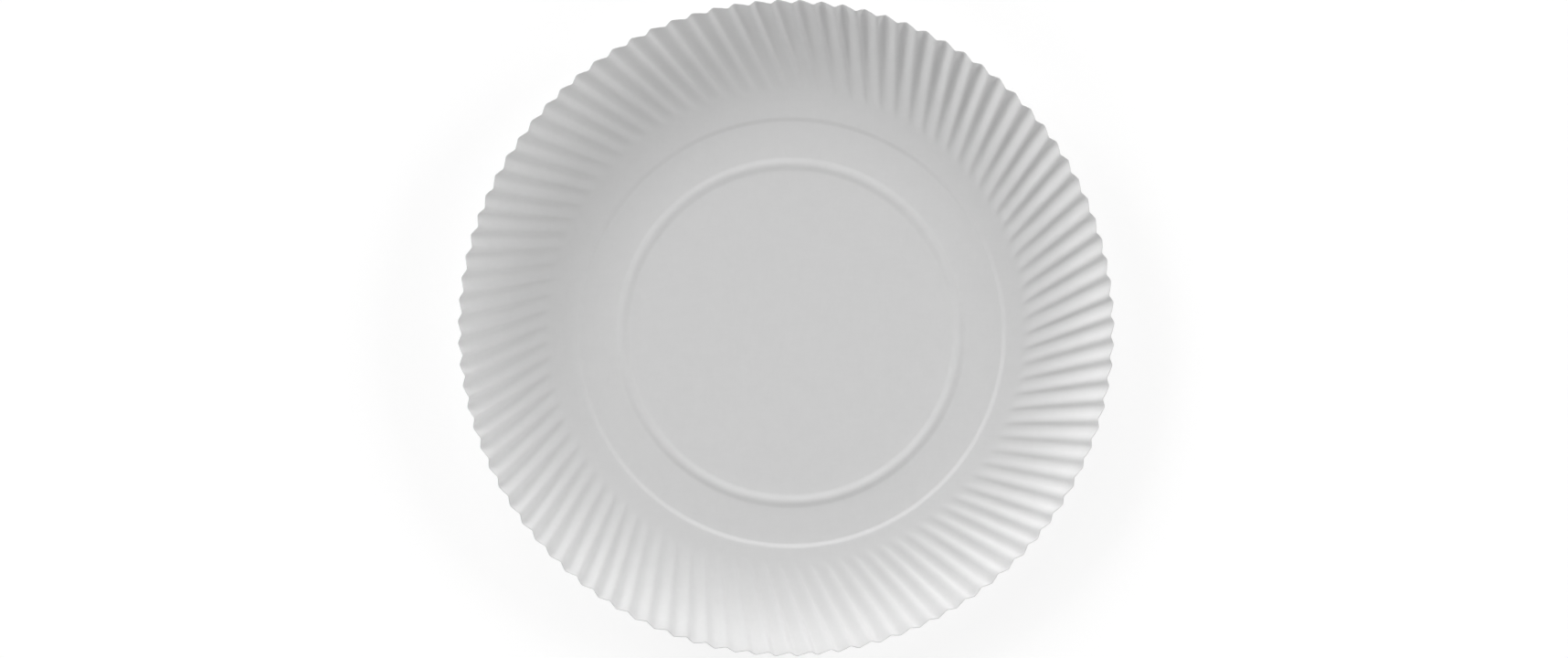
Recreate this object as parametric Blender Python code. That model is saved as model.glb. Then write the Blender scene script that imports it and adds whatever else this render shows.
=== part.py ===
"""A fluted paper plate, pressed in one piece from a round blank of white card.

Seen from above it has a flat base with a raised ring in it, a small step up at the edge of the base,
a plain band that starts to climb, and a fluted wall that steepens to the cut edge. The 96 flutes are not
radial: each one follows a straight line that just touches a circle near the middle of the plate, so they
all lean the same way. Each flute falls slowly on one side and climbs more quickly on the other, and they
fade out inwards, where the card lies almost flat.

The blank was pressed a little off the middle of the die. The ring, the step and the flutes share the
die's middle, and the cut edge is a circle about the blank's own, which is the origin. That makes the wall
wider on one side, and higher there, because it climbs further.

The mesh made here is the underside of the card, ring by ring from the die's middle outwards.
A Solidify modifier then gives the card its thickness on the upper side.
Run it with blender --background --python part.py, or from the text editor. Lengths are in metres.
"""

import math

import bmesh
import bpy

# The round blank, across the tips of the scalloped edge
OVERALL_DIAMETER = 0.230
CARD_THICKNESS = 0.00045

# How far the die's middle stands to the right of the blank's middle, and how far below it
PATTERN_SHIFT_RIGHT = 0.0015
PATTERN_SHIFT_DOWN = 0.0016

# Everything between the flat base and the cut edge, as seen from above on a well centred plate
WALL_WIDTH = 0.0409

# The raised ring pressed into the base, placed inward from the edge of the base
RING_INSET = 0.0144
RING_WIDTH = 0.0056
RING_HEIGHT = 0.00042

# The step up at the edge of the base
STEP_WIDTH = 0.0025
STEP_HEIGHT = 0.00053

# The wall: its climb above the step, how steeply it starts, and how steep it is at the cut edge
WALL_RISE = 0.0146
WALL_START_SLOPE = math.radians(1.6)
WALL_RIM_SLOPE = math.radians(41)

# The smooth band of wall between the step and the inner ends of the flutes
PLAIN_BAND_WIDTH = 0.0060

# The flutes: the inner ends swell over the run-in, then the flutes deepen steadily to the rim
FLUTE_COUNT = 96
FLUTE_RUN_IN = 0.0060
FLUTE_INNER_DEPTH = 0.00037
FLUTE_RIM_DEPTH = 0.00126
FLUTE_STEEP_SHARE = 0.41
LEAN_CIRCLE_RADIUS = 0.0334
FIRST_FLUTE_ANGLE = math.radians(1.6)

# Card finish: matt, uncoated white
CARD_COLOUR = (0.80, 0.80, 0.80, 1.0)
CARD_ROUGHNESS = 0.75

# How finely the mesh follows the forms, and how often the edge is looked for along a leaning flute
COLUMNS_PER_FLUTE = 4
RING_BANDS = 4
STEP_BANDS = 2
FLUTE_BANDS = 5
EDGE_SEARCH_ROUNDS = 6

BASE_RADIUS = OVERALL_DIAMETER / 2 - WALL_WIDTH
STEP_TOP_RADIUS = BASE_RADIUS + STEP_WIDTH
FLUTE_START_RADIUS = STEP_TOP_RADIUS + PLAIN_BAND_WIDTH
FLUTE_FULL_RADIUS = FLUTE_START_RADIUS + FLUTE_RUN_IN
FLUTE_PITCH = 2 * math.pi / FLUTE_COUNT

# The die's middle, and the mean line of the cut edge, which lies inside the tips of the scallops
MIDDLE_X = PATTERN_SHIFT_RIGHT
MIDDLE_Y = -PATTERN_SHIFT_DOWN
CUT_RADIUS = OVERALL_DIAMETER / 2 - FLUTE_RIM_DEPTH / 2 * math.sin(WALL_RIM_SLOPE)


def clear_scene():
    for thing in list(bpy.data.objects):
        bpy.data.objects.remove(thing, do_unlink=True)


def make_card_material():
    material = bpy.data.materials.new("white_card")
    material.use_nodes = True
    shader = material.node_tree.nodes["Principled BSDF"]
    shader.inputs["Base Color"].default_value = CARD_COLOUR
    shader.inputs["Roughness"].default_value = CARD_ROUGHNESS
    shader.inputs["Metallic"].default_value = 0.0
    return material


def wall_profile(radius):
    """Height and slope angle of the wall at a distance from the die's middle.

    It is the cubic curve that leaves the top of the step at one slope and has climbed the whole
    rise, at the other slope, where the edge of a well centred blank would be.
    """
    run = OVERALL_DIAMETER / 2 - STEP_TOP_RADIUS
    start = math.tan(WALL_START_SLOPE) * run
    end = math.tan(WALL_RIM_SLOPE) * run
    square_term = 3 * WALL_RISE - 2 * start - end
    cube_term = start + end - 2 * WALL_RISE
    t = (radius - STEP_TOP_RADIUS) / run
    height = STEP_HEIGHT + t * (start + t * (square_term + t * cube_term))
    slope = (start + t * (2 * square_term + 3 * t * cube_term)) / run
    return height, math.atan(slope)


def flute_depth(radius):
    """Depth from crest to trough, which grows in proportion from the end of the run-in to the rim."""
    t = (radius - FLUTE_FULL_RADIUS) / (CUT_RADIUS - FLUTE_FULL_RADIUS)
    return FLUTE_INNER_DEPTH + t * (FLUTE_RIM_DEPTH - FLUTE_INNER_DEPTH)


def flute_angle(pitches, radius):
    """Where a flute's line stands at a distance from the die's middle, as an angle seen from above.

    A straight line that touches the lean circle turns away from the radius by the arc cosine of
    the circle's radius over its own.
    """
    return FIRST_FLUTE_ANGLE + pitches * FLUTE_PITCH + math.acos(LEAN_CIRCLE_RADIUS / radius)


def edge_distance(pitches):
    """How far from the die's middle a flute's line meets the cut circle.

    The line's angle depends on the distance, and the distance on the angle, so a few rounds of
    working out one from the other settle both.
    """
    distance = CUT_RADIUS
    for _ in range(EDGE_SEARCH_ROUNDS):
        angle = flute_angle(pitches, distance)
        along = MIDDLE_X * math.cos(angle) + MIDDLE_Y * math.sin(angle)
        across = MIDDLE_X * math.sin(angle) - MIDDLE_Y * math.cos(angle)
        distance = math.sqrt(CUT_RADIUS**2 - across**2) - along
    return distance


def flute_columns():
    """The mesh's columns in one flute, as pairs: pitches past the crest, and 1 on a crest or -1 in a trough.

    The columns stand at even steps of the wave's own turn. The slow fall takes the first half turn
    and the quick climb the second, so the steps are stretched on the fall and packed on the climb.
    """
    columns = []
    for index in range(COLUMNS_PER_FLUTE):
        turn = (index + 0.5) / COLUMNS_PER_FLUTE
        fall = 2 * min(turn, 0.5) * (1 - FLUTE_STEEP_SHARE)
        climb = 2 * max(turn - 0.5, 0) * FLUTE_STEEP_SHARE
        side = math.copysign(1, math.cos(2 * math.pi * turn))
        columns.append((fall + climb, side))
    return columns


def point_at(distance, angle, height):
    """A point given by its distance and angle from the die's middle."""
    return (MIDDLE_X + distance * math.cos(angle), MIDDLE_Y + distance * math.sin(angle), height)


def plain_circle(mesh, radius, height):
    """A round of vertices with no flutes: one for each flute, at its middle column."""
    middle = sum(pitches for pitches, _ in flute_columns()) / COLUMNS_PER_FLUTE
    angles = [flute_angle(flute + middle, FLUTE_START_RADIUS) for flute in range(FLUTE_COUNT)]
    return [mesh.verts.new(point_at(radius, angle, height)) for angle in angles]


def fluted_circle(mesh, share):
    """A round of vertices a given share of the way from the end of the run-in to the cut edge.

    Each one stands off the wall's mean line, square to it, by half the flute's depth there.
    """
    circle = []
    for flute in range(FLUTE_COUNT):
        for pitches, side in flute_columns():
            reach = edge_distance(flute + pitches) - FLUTE_FULL_RADIUS
            radius = FLUTE_FULL_RADIUS + share * reach
            height, slope = wall_profile(radius)
            stand_off = side * flute_depth(radius) / 2
            angle = flute_angle(flute + pitches, radius)
            distance = radius - stand_off * math.sin(slope)
            lift = height + stand_off * math.cos(slope)
            circle.append(mesh.verts.new(point_at(distance, angle, lift)))
    return circle


def join_circles(mesh, inner, outer):
    """A band of faces between two circles, wound so that it faces up.

    Where the outer circle has more columns, each inner vertex first fans out to its own share of them.
    """
    share = len(outer) // len(inner)
    for index, near in enumerate(inner):
        first = index * share
        for step in range(first, first + share - 1):
            mesh.faces.new((near, outer[step], outer[step + 1]))
        last = outer[first + share - 1]
        next_outer = outer[(first + share) % len(outer)]
        next_near = inner[(index + 1) % len(inner)]
        mesh.faces.new((near, last, next_outer, next_near))


def base_circles(mesh):
    """The raised ring and the step: each is a whole or a half wave of a cosine, cut into a few bands."""
    circles = []
    ring_start = BASE_RADIUS - RING_INSET - RING_WIDTH / 2
    for index in range(RING_BANDS + 1):
        share = index / RING_BANDS
        height = RING_HEIGHT * (1 - math.cos(2 * math.pi * share)) / 2
        circles.append(plain_circle(mesh, ring_start + share * RING_WIDTH, height))
    for index in range(STEP_BANDS + 1):
        share = index / STEP_BANDS
        height = STEP_HEIGHT * (1 - math.cos(math.pi * share)) / 2
        circles.append(plain_circle(mesh, BASE_RADIUS + share * STEP_WIDTH, height))
    return circles


def wall_circles(mesh):
    """The plain start of the flutes, then the fluted wall out to the cut edge."""
    start_height, _ = wall_profile(FLUTE_START_RADIUS)
    circles = [plain_circle(mesh, FLUTE_START_RADIUS, start_height)]
    for index in range(FLUTE_BANDS + 1):
        circles.append(fluted_circle(mesh, index / FLUTE_BANDS))
    return circles


def make_plate():
    mesh = bmesh.new()
    circles = base_circles(mesh) + wall_circles(mesh)
    centre = mesh.verts.new((MIDDLE_X, MIDDLE_Y, 0))
    innermost = circles[0]
    for index, near in enumerate(innermost):
        mesh.faces.new((centre, near, innermost[(index + 1) % len(innermost)]))
    for inner, outer in zip(circles, circles[1:]):
        join_circles(mesh, inner, outer)
    for face in mesh.faces:
        face.smooth = True
    for edge in mesh.edges:
        edge.smooth = not edge.is_boundary

    data = bpy.data.meshes.new("plate")
    mesh.to_mesh(data)
    mesh.free()
    data.materials.append(make_card_material())
    plate = bpy.data.objects.new("plate", data)
    bpy.context.scene.collection.objects.link(plate)

    card = plate.modifiers.new("card_thickness", "SOLIDIFY")
    card.thickness = CARD_THICKNESS
    card.offset = 1.0
    card.use_even_offset = True
    return plate


clear_scene()
make_plate()
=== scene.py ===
# %% [markdown]
# # A fluted paper plate
#
# The plate is one round blank of white card, squeezed between two heated dies. The dies leave a flat
# base with a raised ring in it, a low step, and a wall of 96 leaning flutes that climbs to the cut edge.
# It is all one piece, so the whole lesson makes one mesh: a surface worked out with numpy, whose
# two parameters are the place round the plate and the place along a cut through the card.
#
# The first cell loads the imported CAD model. Its one node stays for collision, and the finer
# mesh made here takes its place in the picture.

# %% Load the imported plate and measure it
import math

import bpy
import numpy as np
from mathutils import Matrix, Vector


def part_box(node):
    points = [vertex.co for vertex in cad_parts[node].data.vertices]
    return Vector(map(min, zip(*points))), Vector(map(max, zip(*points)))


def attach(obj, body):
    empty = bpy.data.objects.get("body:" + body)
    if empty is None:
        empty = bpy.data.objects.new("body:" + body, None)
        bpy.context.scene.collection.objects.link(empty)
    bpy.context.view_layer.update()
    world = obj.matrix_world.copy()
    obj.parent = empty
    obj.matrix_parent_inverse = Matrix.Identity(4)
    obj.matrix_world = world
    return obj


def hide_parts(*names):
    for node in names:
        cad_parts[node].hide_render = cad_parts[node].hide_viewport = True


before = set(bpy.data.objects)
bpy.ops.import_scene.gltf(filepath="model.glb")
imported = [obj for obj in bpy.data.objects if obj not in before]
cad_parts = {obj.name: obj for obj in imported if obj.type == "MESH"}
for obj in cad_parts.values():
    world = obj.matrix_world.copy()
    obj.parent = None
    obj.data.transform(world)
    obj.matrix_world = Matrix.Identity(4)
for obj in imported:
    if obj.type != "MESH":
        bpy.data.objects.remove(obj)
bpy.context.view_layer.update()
cad_low, cad_high = [np.array(corner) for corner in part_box("plate")]
print("CAD plate, mm:", np.round((cad_high - cad_low) * 1000, 2))

# %% [markdown]
# ## The sizes
#
# The sizes of the pressed shape are named here, lengths in metres and skews as shares of a flute's
# pitch. This blank sat a little off the middle of the die, so the ring, the step and the wall are off
# centre inside the cut edge. That small fault is what makes the wall wide at the upper left and narrow
# at the lower right. The radii run from the middle of the die's pattern, all but two. The cut edge, and
# the circle where the flutes begin, run from the blank's own middle, which is the origin, because the
# flutes are creases scored into the blank.

# %% Name the sizes of the pressed card
EDGE_RADIUS = 0.1150
CARD_THICKNESS = 0.00045
PATTERN_MIDDLE = (0.0015, -0.0016)

RING_RADIUS = 0.0597
RING_INNER_WIDTH = 0.0028
RING_OUTER_WIDTH = 0.0026
RING_HEIGHT = 0.00050

STEP_INNER_RADIUS = 0.0743
STEP_OUTER_RADIUS = 0.0766
STEP_HEIGHT = 0.00060

MIDDLE_OF_WALL = 0.100
WALL_START_SLOPE = math.radians(1.6)
WALL_RIM_SLOPE = math.radians(41.0)
WALL_RISE = 0.0148

FLUTE_COUNT = 96
FLUTE_START_RADIUS = 0.0825
FLUTE_RUN_IN = 0.0042
FLUTE_INNER_DEPTH = 0.0002
FLUTE_RIM_DEPTH = 0.00123
MEAN_SKEW = 0.005
SKEW_SWING = 0.105
SKEW_RIPPLE = 0.055
RIPPLES_ROUND = 3
RIPPLE_SIDE = math.radians(-15)
SKEW_DELAY = 0.1
CREST_SHARPNESS = 0.06
EDGE_SCALLOP = 0.0002
SCALLOP_SHARPNESS = 0.33
FLUTE_LEAN_RADIUS = 0.0334
FLUTE_FIRST_ANGLE = math.radians(1.80)

middle = np.array(PATTERN_MIDDLE)
print("pattern off centre by", round(float(np.hypot(*middle)) * 1000, 2), "mm")

# %% [markdown]
# ## The cut through the wall
#
# Seen in section the wall leaves the step almost flat and steepens all the way out, like the end of a
# ski. A straight cone would catch the light evenly, and the plate would look like a lampshade. A cubic
# curve is the simplest one that takes a chosen slope at both ends and a chosen rise between them.
# The raised ring climbs and falls, and the step climbs, along halves of a cosine, which start and end
# level. The ring's outer side is a little the steeper of the two.

# %% Height and slope of the middle line of the card
def wall_height(radius):
    """The cubic that leaves the step at one slope and reaches the edge at another, WALL_RISE higher."""
    run = EDGE_RADIUS - STEP_OUTER_RADIUS
    start, end = math.tan(WALL_START_SLOPE) * run, math.tan(WALL_RIM_SLOPE) * run
    square, cube = 3 * WALL_RISE - 2 * start - end, start + end - 2 * WALL_RISE
    t = (radius - STEP_OUTER_RADIUS) / run
    height = t * (start + t * (square + t * cube))
    slope = (start + t * (2 * square + 3 * t * cube)) / run
    return height, np.arctan(slope)


def smooth(start, width, value):
    """0 before start, 1 after start + width, and three squares less two cubes of the share between."""
    share = np.clip((value - start) / width, 0, 1)
    return share * share * (3 - 2 * share)


def section_height(radius):
    """Ring, step and wall added up: two half cosines that meet on the crown, one more, and the cubic."""
    ring_side = np.where(radius < RING_RADIUS, RING_INNER_WIDTH, RING_OUTER_WIDTH)
    ring_share = np.clip((radius - RING_RADIUS) / ring_side, -1, 1)
    step_share = np.clip((radius - STEP_INNER_RADIUS) / (STEP_OUTER_RADIUS - STEP_INNER_RADIUS), 0, 1)
    wall, slope = wall_height(np.maximum(radius, STEP_OUTER_RADIUS))
    wall = np.where(radius > STEP_OUTER_RADIUS, wall, 0)
    slope = np.where(radius > STEP_OUTER_RADIUS, slope, 0)
    ring = RING_HEIGHT * (1 + np.cos(np.pi * ring_share)) / 2
    step = STEP_HEIGHT * (1 - np.cos(np.pi * step_share)) / 2
    return ring + step + wall, slope


sample = np.array([0.0, RING_RADIUS, STEP_OUTER_RADIUS, FLUTE_START_RADIUS, MIDDLE_OF_WALL, EDGE_RADIUS])
print("heights of the middle line, mm:", np.round(section_height(sample)[0] * 1000, 2))

# %% [markdown]
# ## The columns of the grid
#
# A flute is not a radial groove: each one runs along a straight line that just touches a small circle
# round the middle, so all of them lean the same way. Nor is it an even wave. On the right and at the top
# of the plate, going round against the clock, the card falls slowly from a crest and climbs quickly to
# the next, like a breaking wave. On the left and at the bottom it is the other way about. That is what
# two dies do when one stands a little to the side of the other: every crest is pushed the same way
# across the plate, here to the lower right, along the line on which the blank is off centre. So the skew
# of the wave swings with the sine of the angle from that line, and a smaller ripple goes three times
# round.
#
# The trick is to let the grid do the work. Columns are spaced evenly in the turn of the wave, and then
# pushed back near a crest and forward near a trough, by up to half the skew. The push is greatest a
# little after each of them, by the delay. The height is still worked out from the turn, yet the wave
# comes out steep on one side, and the columns crowd where it is steep. As crests go one way and troughs
# the other, the wave as a whole stays where it was.

# %% Work out the skew of the wave on each side of the plate
COLUMNS_PER_FLUTE = 10


def lean(radius):
    """The turn of a leaning line at a radius: the arc cosine of the small circle's radius over it."""
    return np.arccos(FLUTE_LEAN_RADIUS / radius)


steps = np.arange(FLUTE_COUNT * COLUMNS_PER_FLUTE)
turn = 2 * np.pi * (steps % COLUMNS_PER_FLUTE) / COLUMNS_PER_FLUTE
flute_number = steps // COLUMNS_PER_FLUTE
column_pitches = flute_number + turn / (2 * np.pi)
side = FLUTE_FIRST_ANGLE + column_pitches * 2 * np.pi / FLUTE_COUNT + lean(MIDDLE_OF_WALL)
blank_side = math.atan2(-middle[1], -middle[0])
swing = SKEW_SWING * np.sin(blank_side - side)
ripple = SKEW_RIPPLE * np.cos(RIPPLES_ROUND * (side - RIPPLE_SIDE))
skew = MEAN_SKEW + swing + ripple
print(len(steps), "columns; skew from", round(float(skew.min()), 3), "to", round(float(skew.max()), 3))

# %% [markdown]
# No pressed plate is quite even, so each flute gets its own small error in skew, place and depth. An
# error is shared in part with the flutes next to it, since they are pressed from the same bit of card.
# A seeded generator gives the same errors every time.

# %% Add the errors of each flute and place the columns round the plate
SKEW_ERROR = 0.02
PLACE_ERROR = 0.018
DEPTH_ERROR = 0.07
NEIGHBOUR_SHARE = 0.4
DICE_SEED = 96

dice = np.random.default_rng(DICE_SEED)


def around_noise(spread):
    """One random value for each flute, softened with its neighbours and set to the wanted spread."""
    value = dice.normal(size=FLUTE_COUNT)
    value = value + NEIGHBOUR_SHARE * (np.roll(value, 1) + np.roll(value, -1))
    return value * spread / value.std()


def per_column(value, pitches):
    """Carries one value for each flute to every column, in a straight line from crest to crest."""
    at_crest = np.arange(FLUTE_COUNT + 1)
    return np.interp(pitches % FLUTE_COUNT, at_crest, np.append(value, value[0]))


skew = skew + per_column(around_noise(SKEW_ERROR), column_pitches)
column_pitches = column_pitches - skew * np.cos(turn - SKEW_DELAY) / 2
column_pitches = column_pitches + per_column(around_noise(PLACE_ERROR), column_pitches)
column_depth = 1 + per_column(around_noise(DEPTH_ERROR), column_pitches)
column_angle = FLUTE_FIRST_ANGLE + column_pitches * 2 * np.pi / FLUTE_COUNT
print("closest columns:", round(float(np.diff(column_pitches).min()), 3), "of a pitch")

# %% [markdown]
# ## The rows of the grid
#
# The rows start as circles round the pattern's middle. The rows of the fluted wall run between two
# circles round the blank's middle instead: the one where the flutes begin, and the cut edge. Where a
# column meets such a circle is found by going back and forth a few times, because the angle of a
# leaning flute depends on the radius, and the radius, seen from the pattern's middle, on the angle.
#
# The cut edge is not quite a circle before the flutes are added. Pressing draws the card in a little
# further at each crest, so the scallops are deeper than the slant of the wave alone would make them.
# A share of a wave three times as quick makes their tips and hollows sharper and the lines between
# them straighter.

# %% Find where each column meets the flutes' start and the cut edge
STRAIGHT_RADIUS = 0.0790
SEARCH_ROUNDS = 6


def angle_at(radius):
    """Columns follow their leaning flutes on the wall, and run straight to the middle inside it."""
    return column_angle + lean(np.maximum(radius, STRAIGHT_RADIUS))


def reach_of_circle(circle_radius):
    """Where each column meets a circle round the blank's middle, by the cosine rule for a triangle."""
    reach = circle_radius
    for _ in range(SEARCH_ROUNDS):
        angle = angle_at(reach)
        along = middle[0] * np.cos(angle) + middle[1] * np.sin(angle)
        reach = -along + np.sqrt(along**2 + circle_radius**2 - middle @ middle)
    return reach


slant_reach = FLUTE_RIM_DEPTH / 2 * math.sin(WALL_RIM_SLOPE)
scallop_reach = (1 + SCALLOP_SHARPNESS) * EDGE_SCALLOP
cut_radius = EDGE_RADIUS - slant_reach - scallop_reach
scallop = EDGE_SCALLOP * (np.cos(turn) + SCALLOP_SHARPNESS * np.cos(3 * turn))
edge_radius = reach_of_circle(cut_radius - scallop)
start_radius = reach_of_circle(FLUTE_START_RADIUS)
print("flutes begin at", np.round([start_radius.min() * 1000, start_radius.max() * 1000], 2), "mm")
print("and end at", np.round([edge_radius.min() * 1000, edge_radius.max() * 1000], 2), "mm")

# %% [markdown]
# The inner rows run along the base, over the ring, up the step and over the plain band, each at its own
# radius. The outer rows are each a share of the way from where the flutes begin, through their run-in,
# to the edge. More rows stand where the card bends.

# %% Choose the rows
RING_ROWS = 13
STEP_ROWS = 8
RUN_IN_ROWS = 6
WALL_ROWS = 11

base_rows = np.array([0.012, 0.030, 0.045, 0.054])
ring_rows = np.linspace(RING_RADIUS - RING_INNER_WIDTH, RING_RADIUS + RING_OUTER_WIDTH, RING_ROWS)
step_rows = np.linspace(STEP_INNER_RADIUS, STEP_OUTER_RADIUS, STEP_ROWS)
between_rows = np.array([0.0665, 0.0705])
band_rows = np.array([0.0778, 0.0788])
inner_rows = np.concatenate([base_rows, ring_rows, between_rows, step_rows, band_rows])

run_in_share = FLUTE_RUN_IN / (cut_radius - FLUTE_START_RADIUS)
run_in_shares = np.linspace(0, run_in_share, RUN_IN_ROWS, endpoint=False)
wall_share = np.concatenate([run_in_shares, np.linspace(run_in_share, 1, WALL_ROWS)])

inner_radius = np.repeat(inner_rows[:, None], len(steps), axis=1)
outer_radius = start_radius + wall_share[:, None] * (edge_radius - start_radius)
radius = np.concatenate([inner_radius, outer_radius])
print(radius.shape[0], "rows from the middle to the edge")

# %% [markdown]
# ## The middle surface of the card
#
# The wave stands off the section square to it, not straight up. That is what scallops the edge: at a
# crest the card is pushed up and inwards, in a trough down and outwards, so the troughs end in tips.
# A share of a wave twice as quick makes the crests a little sharper than the troughs. The depth swells
# over the run-in, which rounds the inner ends, and then grows steadily. Card never lies quite flat
# either, so the wall has a slight warp, about a tenth of a millimetre.

# %% Work out the surface
SAG_HEIGHT = 0.00012
SAG_START = 0.55
SAG_RUN_IN = 0.4
# For each wave of the warp: how often it goes round, its share of the height, and its phase
SAG_WAVES = ((2, 1.0, 0.8), (3, 0.6, -1.9))


def flute_depth(radius):
    """Depth from crest to trough: a smooth start over the run-in times a steady growth to the rim."""
    growth = (radius - FLUTE_START_RADIUS) / (EDGE_RADIUS - FLUTE_START_RADIUS)
    steady = FLUTE_INNER_DEPTH + growth * (FLUTE_RIM_DEPTH - FLUTE_INNER_DEPTH)
    return steady * smooth(start_radius, FLUTE_RUN_IN, radius)


def sag(x, y):
    """The card's own slight warp: two long waves that grow with the square of the radius."""
    angle, reach = np.arctan2(y, x), np.hypot(x, y) / EDGE_RADIUS
    waves = sum(share * np.cos(count * angle - phase) for count, share, phase in SAG_WAVES)
    return SAG_HEIGHT * reach**2 * smooth(SAG_START, SAG_RUN_IN, reach) * waves


height, slope = section_height(radius)
wave = flute_depth(radius) / 2 * (np.cos(turn) + CREST_SHARPNESS * np.cos(2 * turn)) * column_depth
reach = radius - wave * np.sin(slope)
angle = angle_at(radius)
x = middle[0] + reach * np.cos(angle)
y = middle[1] + reach * np.sin(angle)
z = CARD_THICKNESS / 2 + height + wave * np.cos(slope)
z = z + sag(x, y)
surface = np.stack([x, y, z], axis=-1)
print("middle surface top, mm:", round(float(z.max()) * 1000, 2))

# %% [markdown]
# ## From a surface to a card with two sides and a cut edge
#
# Card has a thickness, and from low down its cut edge is the first thing that the eye finds. The two
# sides stand half a thickness off the middle surface, along its normals, which come from the
# differences between neighbouring points. No point of the underside may go below the table. The cut
# edge is a few more rows that go round from one side to the other with slightly broken corners,
# because a blunted cutting die crushes them, and the card is a third thinner there for the same
# reason. The grid is then one long sheet from the middle of the top to the middle of the underside,
# and one point at each end closes it.

# %% Give the card its two sides and its cut edge
# The thickness of the last two rows, as shares of the card's
EDGE_THINNING = (0.9, 0.67)
# For each row of the cut edge: shares of half the thickness off the middle surface, and metres outwards
EDGE_SECTION = np.array([
    (1.00, -0.00009),
    (0.86, -0.00002),
    (0.45, 0.0),
    (-0.45, 0.0),
    (-0.86, -0.00002),
    (-1.00, -0.00009),
])


def unit(vector):
    """The same direction with length one."""
    return vector / np.linalg.norm(vector, axis=-1, keepdims=True)


around = np.roll(surface, -1, axis=1) - np.roll(surface, 1, axis=1)
outward = np.gradient(surface, axis=0)
normal = unit(np.cross(outward, around))
half = np.full((len(surface), 1, 1), CARD_THICKNESS / 2)
half[-len(EDGE_THINNING):, 0, 0] *= EDGE_THINNING
top_side = surface + half * normal
under_side = surface - half * normal
under_side[..., 2] = np.maximum(under_side[..., 2], 0)

edge_out = unit(np.cross(around[-1], normal[-1]))
off_middle, outwards = EDGE_SECTION.T[:, :, None, None]
cut_rows = surface[-1] + off_middle * half[-1] * normal[-1] + outwards * edge_out
sheet = np.concatenate([top_side[:-1], cut_rows, under_side[-2::-1]])
print("grid:", sheet.shape[0], "rows of", sheet.shape[1])

# %% [markdown]
# ## The mesh
#
# Each cell of the grid becomes one face, and a fan of triangles closes each end. The face list
# is made as arrays too: a cell's corners are its own number and those of its three neighbours.
# A value for each vertex says whether it lies on the cut, so that the finish can be darker there, partly
# as painted shade.

# %% Build the mesh of the plate
rows, columns = sheet.shape[:2]
top_middle = np.array([[middle[0], middle[1], CARD_THICKNESS]])
under_middle = np.array([[middle[0], middle[1], 0.0]])
points = np.concatenate([sheet.reshape(-1, 3), top_middle, under_middle])

number = np.arange(rows * columns).reshape(rows, columns)
beside = np.roll(number, -1, axis=1)
cells = np.stack([number[:-1], number[1:], beside[1:], beside[:-1]], axis=-1).reshape(-1, 4)
top_fan = np.stack([np.full(columns, rows * columns), number[0], beside[0]], axis=-1)
under_fan = np.stack([np.full(columns, rows * columns + 1), beside[-1], number[-1]], axis=-1)

card_mesh = bpy.data.meshes.new("pressed_card")
card_mesh.from_pydata(points.tolist(), [], top_fan.tolist() + cells.tolist() + under_fan.tolist())
card_mesh.shade_smooth()

cut_value = np.zeros(len(points), dtype=np.float32)
first_cut = len(top_side) - 1
last_cut = first_cut + len(EDGE_SECTION) - 1
cut_value[number[first_cut + 1:last_cut]] = 1.0
cut_attribute = card_mesh.attributes.new("cut_edge", "FLOAT", "POINT")
cut_attribute.data.foreach_set("value", cut_value)

plate = bpy.data.objects.new("pressed_plate", card_mesh)
bpy.context.scene.collection.objects.link(plate)
triangles = sum(len(face.vertices) - 2 for face in card_mesh.polygons)
print(triangles, "triangles; size, mm:", np.round(np.ptp(points, axis=0) * 1000, 2))

# %% [markdown]
# ## The finish: uncoated white card
#
# White card isn't one flat white. Held to the light it is cloudy, because the fibres settled unevenly,
# and close up short fibres lie in every direction. A material that is built from nodes can show both
# with noise alone. Noise reads the object's own coordinates, so nothing slides when the camera moves.
# Three small helpers keep the building short: one adds any node, one adds noise, one adds a sum.

# %% Start the card material
def add(nodes, kind, **settings):
    """A new node with its settings and the default values of its sockets filled in."""
    node = nodes.new(kind)
    for name, value in settings.items():
        if name in node.inputs:
            node.inputs[name].default_value = value
        else:
            setattr(node, name, value)
    return node


card = bpy.data.materials.new("white_card_finish")
card.use_nodes = True
nodes, links = card.node_tree.nodes, card.node_tree.links
shader = nodes["Principled BSDF"]
place = add(nodes, "ShaderNodeTexCoord").outputs["Object"]


def noise(scale, detail, stretch=(1, 1, 1), turn_by=0.0):
    """Noise on the object's coordinates, which are first turned and stretched."""
    mapping = add(nodes, "ShaderNodeMapping", Scale=stretch, Rotation=(0, 0, turn_by))
    texture = add(nodes, "ShaderNodeTexNoise", Scale=scale, Detail=detail, Roughness=0.6)
    links.new(place, mapping.inputs["Vector"])
    links.new(mapping.outputs["Vector"], texture.inputs["Vector"])
    return texture.outputs["Fac"]


def math_node(operation, first, second):
    """One sum on two values, each a number or another node's output."""
    node = add(nodes, "ShaderNodeMath", operation=operation)
    for socket, value in zip(node.inputs, (first, second)):
        if isinstance(value, (int, float)):
            socket.default_value = value
        else:
            links.new(value, socket)
    return node.outputs[0]


print("card material:", len(nodes), "nodes to begin with")

# %% [markdown]
# The colour is white times a tint. Two layers make the tint, soft clouds some millimetres wide and
# fibres from noise stretched one way and again across it. Both are very faint, a few parts in a
# hundred, and a stronger pattern would read as stone. The cut edge is a little darker: partly the
# inside of the card that it shows, partly painted shade along the cut. It is found by the value that
# its vertices carry.

# %% Tint the card with clouds and fibres
CARD_WHITE = 0.76
CLOUD_SCALE = 170.0
CLOUD_SHARE = 0.05
FIBRE_SCALE = 900.0
FIBRE_SHARE = 0.07
FIBRE_STRETCH = 0.28
TINT_SPREAD = 0.05
# How much darker the cut edge is: partly the card's own inner tone, partly painted shade
CUT_TONE_AND_PAINTED_SHADE = 0.05

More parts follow.
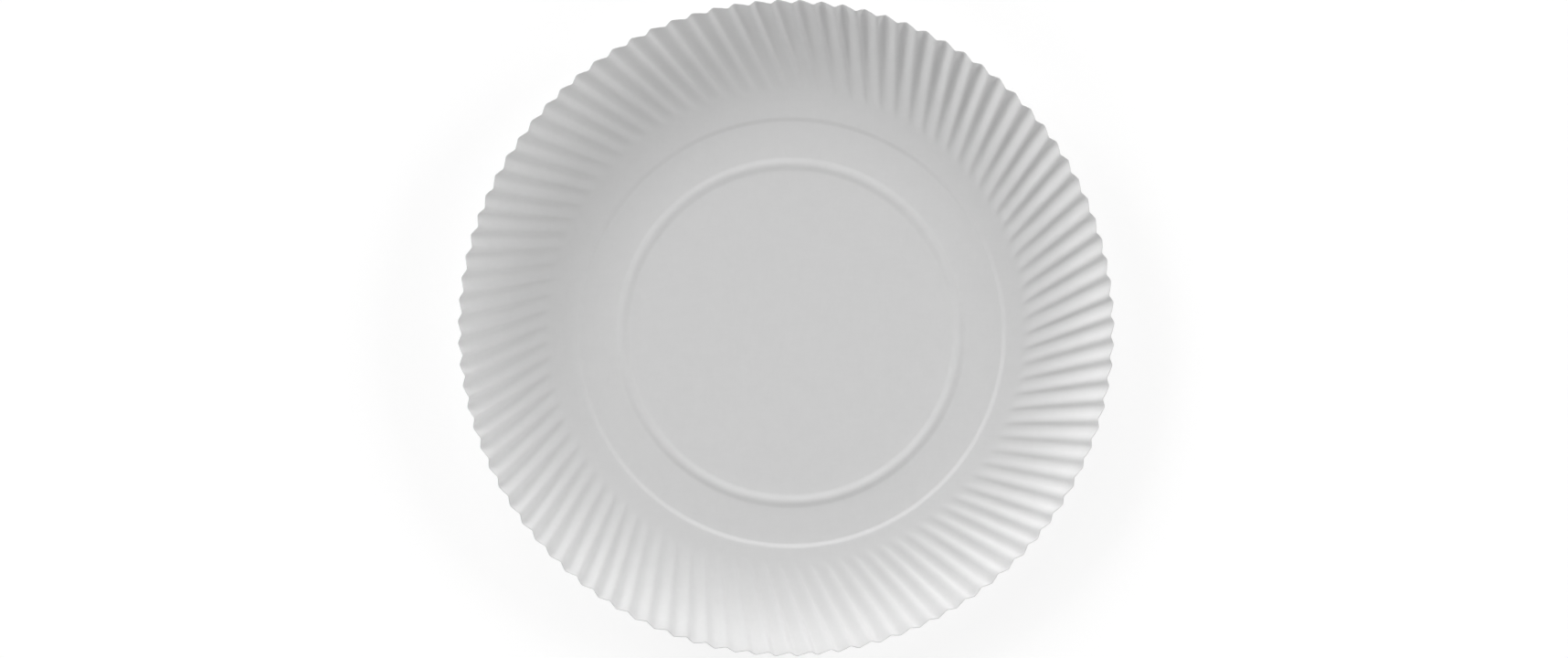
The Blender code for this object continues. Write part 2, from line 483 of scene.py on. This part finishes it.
clouds = noise(CLOUD_SCALE, detail=3.0)
fibres_along = noise(FIBRE_SCALE, detail=4.0, stretch=(1.0, FIBRE_STRETCH, 1.0), turn_by=0.5)
fibres_across = noise(FIBRE_SCALE, detail=4.0, stretch=(FIBRE_STRETCH, 1.0, 1.0), turn_by=0.9)
fibres = math_node("MULTIPLY", math_node("ADD", fibres_along, fibres_across), 0.5)
cloud_shade = math_node("MULTIPLY", clouds, CLOUD_SHARE)
fibre_shade = math_node("MULTIPLY", fibres, FIBRE_SHARE)
shade = math_node("ADD", cloud_shade, fibre_shade)

all_shade = CLOUD_SHARE + FIBRE_SHARE
darkest, lightest = 1 - TINT_SPREAD, 1 + TINT_SPREAD
tint_range = {"From Min": 0.0, "From Max": all_shade, "To Min": darkest, "To Max": lightest}
tint = add(nodes, "ShaderNodeMapRange", **tint_range)
links.new(shade, tint.inputs["Value"])

# The cut edge is darkened here: partly the card's inside showing, partly painted shade
cut = add(nodes, "ShaderNodeAttribute", attribute_name="cut_edge").outputs["Fac"]
cut_tone_and_painted_shade = math_node("SUBTRACT", 1.0, math_node("MULTIPLY", cut, CUT_TONE_AND_PAINTED_SHADE))
grey = math_node("MULTIPLY", math_node("MULTIPLY", tint.outputs["Result"], cut_tone_and_painted_shade), CARD_WHITE)
colour = add(nodes, "ShaderNodeCombineColor")
for channel in ("Red", "Green", "Blue"):
    links.new(grey, colour.inputs[channel])
links.new(colour.outputs["Color"], shader.inputs["Base Color"])
print("tint from", round(darkest, 2), "to", round(lightest, 2), "times a white of", CARD_WHITE)

# %% [markdown]
# Uncoated card is dull. Its shine is wide and weak, and a faint sheen stands in for the nap of loose
# fibres. The roughness and the bump both follow the fibres of the tint, so that shine, relief and
# colour agree. The finished mesh then takes the place of the CAD node in the picture.

# %% Finish the surface and hand the plate over
LEAST_ROUGHNESS = 0.66
ROUGHNESS_SPREAD = 0.22

roughness = math_node("ADD", math_node("MULTIPLY", fibres, ROUGHNESS_SPREAD), LEAST_ROUGHNESS)
links.new(roughness, shader.inputs["Roughness"])
shader.inputs["Specular IOR Level"].default_value = 0.35
shader.inputs["Sheen Weight"].default_value = 0.06
shader.inputs["Sheen Roughness"].default_value = 0.6

bump = add(nodes, "ShaderNodeBump", Strength=0.25, Distance=0.00006)
links.new(fibres, bump.inputs["Height"])
links.new(bump.outputs["Normal"], shader.inputs["Normal"])
card_mesh.materials.append(card)

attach(plate, "root")
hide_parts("plate")
print("card finish:", len(nodes), "nodes")

# %% [markdown]
# ## The table it lies on
#
# The plate lies on a pale floor that runs on past the picture. One large square is enough for it. It
# lies a hair lower than the plate's underside, so that the two never share a plane.

# %% Make the floor
FLOOR_REACH = 12.0
FLOOR_DROP = 0.00002

floor_mesh = bpy.data.meshes.new("floor")
corners = np.array([(-1, -1, 0), (1, -1, 0), (1, 1, 0), (-1, 1, 0)]) * FLOOR_REACH
corners[:, 2] = -FLOOR_DROP
floor_mesh.from_pydata(corners.tolist(), [], [(0, 1, 2, 3)])
floor = bpy.data.objects.new("floor", floor_mesh)
bpy.context.scene.collection.objects.link(floor)
print("floor:", 2 * FLOOR_REACH, "m across")

# %% [markdown]
# The camera has to see the floor as white, but turning the lamps up until it burns out would wash out
# the plate as well. So the floor's material asks what kind of ray has hit it. To the camera, and in
# reflections and through glass, it adds a glow that lifts it to white. To every other ray it is
# ordinary pale paint, and it still darkens under the plate.

# %% Paint the floor
FLOOR_PALE = 0.80
FLOOR_SEEN = 0.26
FLOOR_GLOW = 0.81

paint = bpy.data.materials.new("floor_paint")
paint.use_nodes = True
tree = paint.node_tree
tree.nodes.clear()
output = add(tree.nodes, "ShaderNodeOutputMaterial")
pale = add(tree.nodes, "ShaderNodeBsdfDiffuse", Color=(FLOOR_PALE, FLOOR_PALE, FLOOR_PALE, 1))
seen = add(tree.nodes, "ShaderNodeBsdfDiffuse", Color=(FLOOR_SEEN, FLOOR_SEEN, FLOOR_SEEN, 1))
glow = add(tree.nodes, "ShaderNodeEmission", Strength=FLOOR_GLOW)
lifted = add(tree.nodes, "ShaderNodeAddShader")
choose = add(tree.nodes, "ShaderNodeMixShader")
rays = add(tree.nodes, "ShaderNodeLightPath")
either = add(tree.nodes, "ShaderNodeMath", operation="MAXIMUM")
any_of = add(tree.nodes, "ShaderNodeMath", operation="MAXIMUM")
tree.links.new(seen.outputs[0], lifted.inputs[0])
tree.links.new(glow.outputs[0], lifted.inputs[1])
tree.links.new(rays.outputs["Is Camera Ray"], either.inputs[0])
tree.links.new(rays.outputs["Is Glossy Ray"], either.inputs[1])
tree.links.new(either.outputs[0], any_of.inputs[0])
tree.links.new(rays.outputs["Is Transmission Ray"], any_of.inputs[1])
tree.links.new(any_of.outputs[0], choose.inputs["Fac"])
tree.links.new(pale.outputs[0], choose.inputs[1])
tree.links.new(lifted.outputs[0], choose.inputs[2])
tree.links.new(choose.outputs[0], output.inputs["Surface"])
floor_mesh.materials.append(paint)
print("floor paint:", len(tree.nodes), "nodes")

# %% [markdown]
# ## The light
#
# White card has no colour to show, so its whole shape has to come from light that rakes across it.
# Two broad soft lamps stand close together at the upper left of the picture and a third at the right.
# A weaker one is higher up, and two very low ones at the far and near side reach little but the steep
# wall. All are sun lamps with wide discs, because their light is even over the whole plate.

# %% Set the lamps
# For each lamp: name, degrees round from the right of the picture, degrees up, width of disc, strength
LAMPS = (
    ("left_lamp", 150, 22.5, 18, 0.87),
    ("upper_left_lamp", 135, 24, 18, 0.49),
    ("right_lamp", 15, 22.5, 18, 0.94),
    ("high_lamp", 101, 39.5, 26, 0.36),
    ("far_lamp", 105, 7, 24, 0.80),
    ("near_lamp", 252, 13, 22, 0.26),
)

for lamp_name, azimuth, elevation, width, strength in LAMPS:
    lamp_data = bpy.data.lights.new(lamp_name, "SUN")
    lamp_data.energy = strength
    lamp_data.angle = math.radians(width)
    lamp = bpy.data.objects.new(lamp_name, lamp_data)
    lamp.rotation_euler = (0, math.radians(90 - elevation), math.radians(azimuth))
    bpy.context.scene.collection.objects.link(lamp)
print(len(LAMPS), "lamps")

# %% [markdown]
# The rest comes from the room, which is brightest from 15 to 30 degrees up, like a ring of soft boxes
# round the table, and dark overhead. That is why the steep wall is no darker on average than the flat
# base, though half of it turns away from the lamps. The camera itself sees plain white where it looks
# past the floor.

# %% Light the room
ROOM_STRENGTH = 1.83
# For each stop: the sine of the height above the horizon, and the share of the room's strength there
ROOM_LIGHT = ((0.0, 0.35), (0.24, 0.35), (0.28, 1.0), (0.48, 1.0), (0.52, 0.0))

room = bpy.data.worlds.new("studio_room")
bpy.context.scene.world = room
room.use_nodes = True
tree = room.node_tree
tree.nodes.clear()
output = add(tree.nodes, "ShaderNodeOutputWorld")
direction = add(tree.nodes, "ShaderNodeTexCoord")
parts = add(tree.nodes, "ShaderNodeSeparateXYZ")
fade = add(tree.nodes, "ShaderNodeValToRGB")
stops = fade.color_ramp.elements
stops.remove(stops[1])
for rise, strength in ROOM_LIGHT:
    stop = stops.new(rise) if rise > 0 else stops[0]
    stop.color = (strength, strength, strength, 1)
room_light = add(tree.nodes, "ShaderNodeBackground", Strength=ROOM_STRENGTH)
seen_white = add(tree.nodes, "ShaderNodeBackground", Strength=1.0)
choose = add(tree.nodes, "ShaderNodeMixShader")
rays = add(tree.nodes, "ShaderNodeLightPath")
tree.links.new(direction.outputs["Generated"], parts.inputs[0])
tree.links.new(parts.outputs["Z"], fade.inputs["Fac"])
tree.links.new(fade.outputs["Color"], room_light.inputs["Color"])
tree.links.new(rays.outputs["Is Camera Ray"], choose.inputs["Fac"])
tree.links.new(room_light.outputs[0], choose.inputs[1])
tree.links.new(seen_white.outputs[0], choose.inputs[2])
tree.links.new(choose.outputs[0], output.inputs["Surface"])
print("room light:", len(ROOM_LIGHT), "stops")

# %% [markdown]
# ## The camera
#
# The picture looks straight down, with the plate's far side at the top. A long lens from well above
# keeps the steep wall from looking wider than it is. The lens is chosen so that the picture's width
# covers the wanted width at the height of the rim.

# %% Place the camera
CAMERA_HEIGHT = 1.5
CAMERA_MIDDLE = (-0.00083, -0.00029)
PICTURE_WIDTH = 0.5486
RIM_LEVEL = 0.016
SENSOR_WIDTH = 36.0

camera_data = bpy.data.cameras.new("camera")
camera_data.sensor_width = SENSOR_WIDTH
camera_data.lens = SENSOR_WIDTH * (CAMERA_HEIGHT - RIM_LEVEL) / PICTURE_WIDTH
camera_data.clip_start = 0.05
camera_data.clip_end = 50.0
camera_data.dof.use_dof = False
camera = bpy.data.objects.new("camera", camera_data)
camera.location = (*CAMERA_MIDDLE, CAMERA_HEIGHT)
bpy.context.scene.collection.objects.link(camera)
bpy.context.scene.camera = camera
bpy.context.scene.view_settings.view_transform = "Standard"
print("lens:", round(camera_data.lens, 1), "mm")
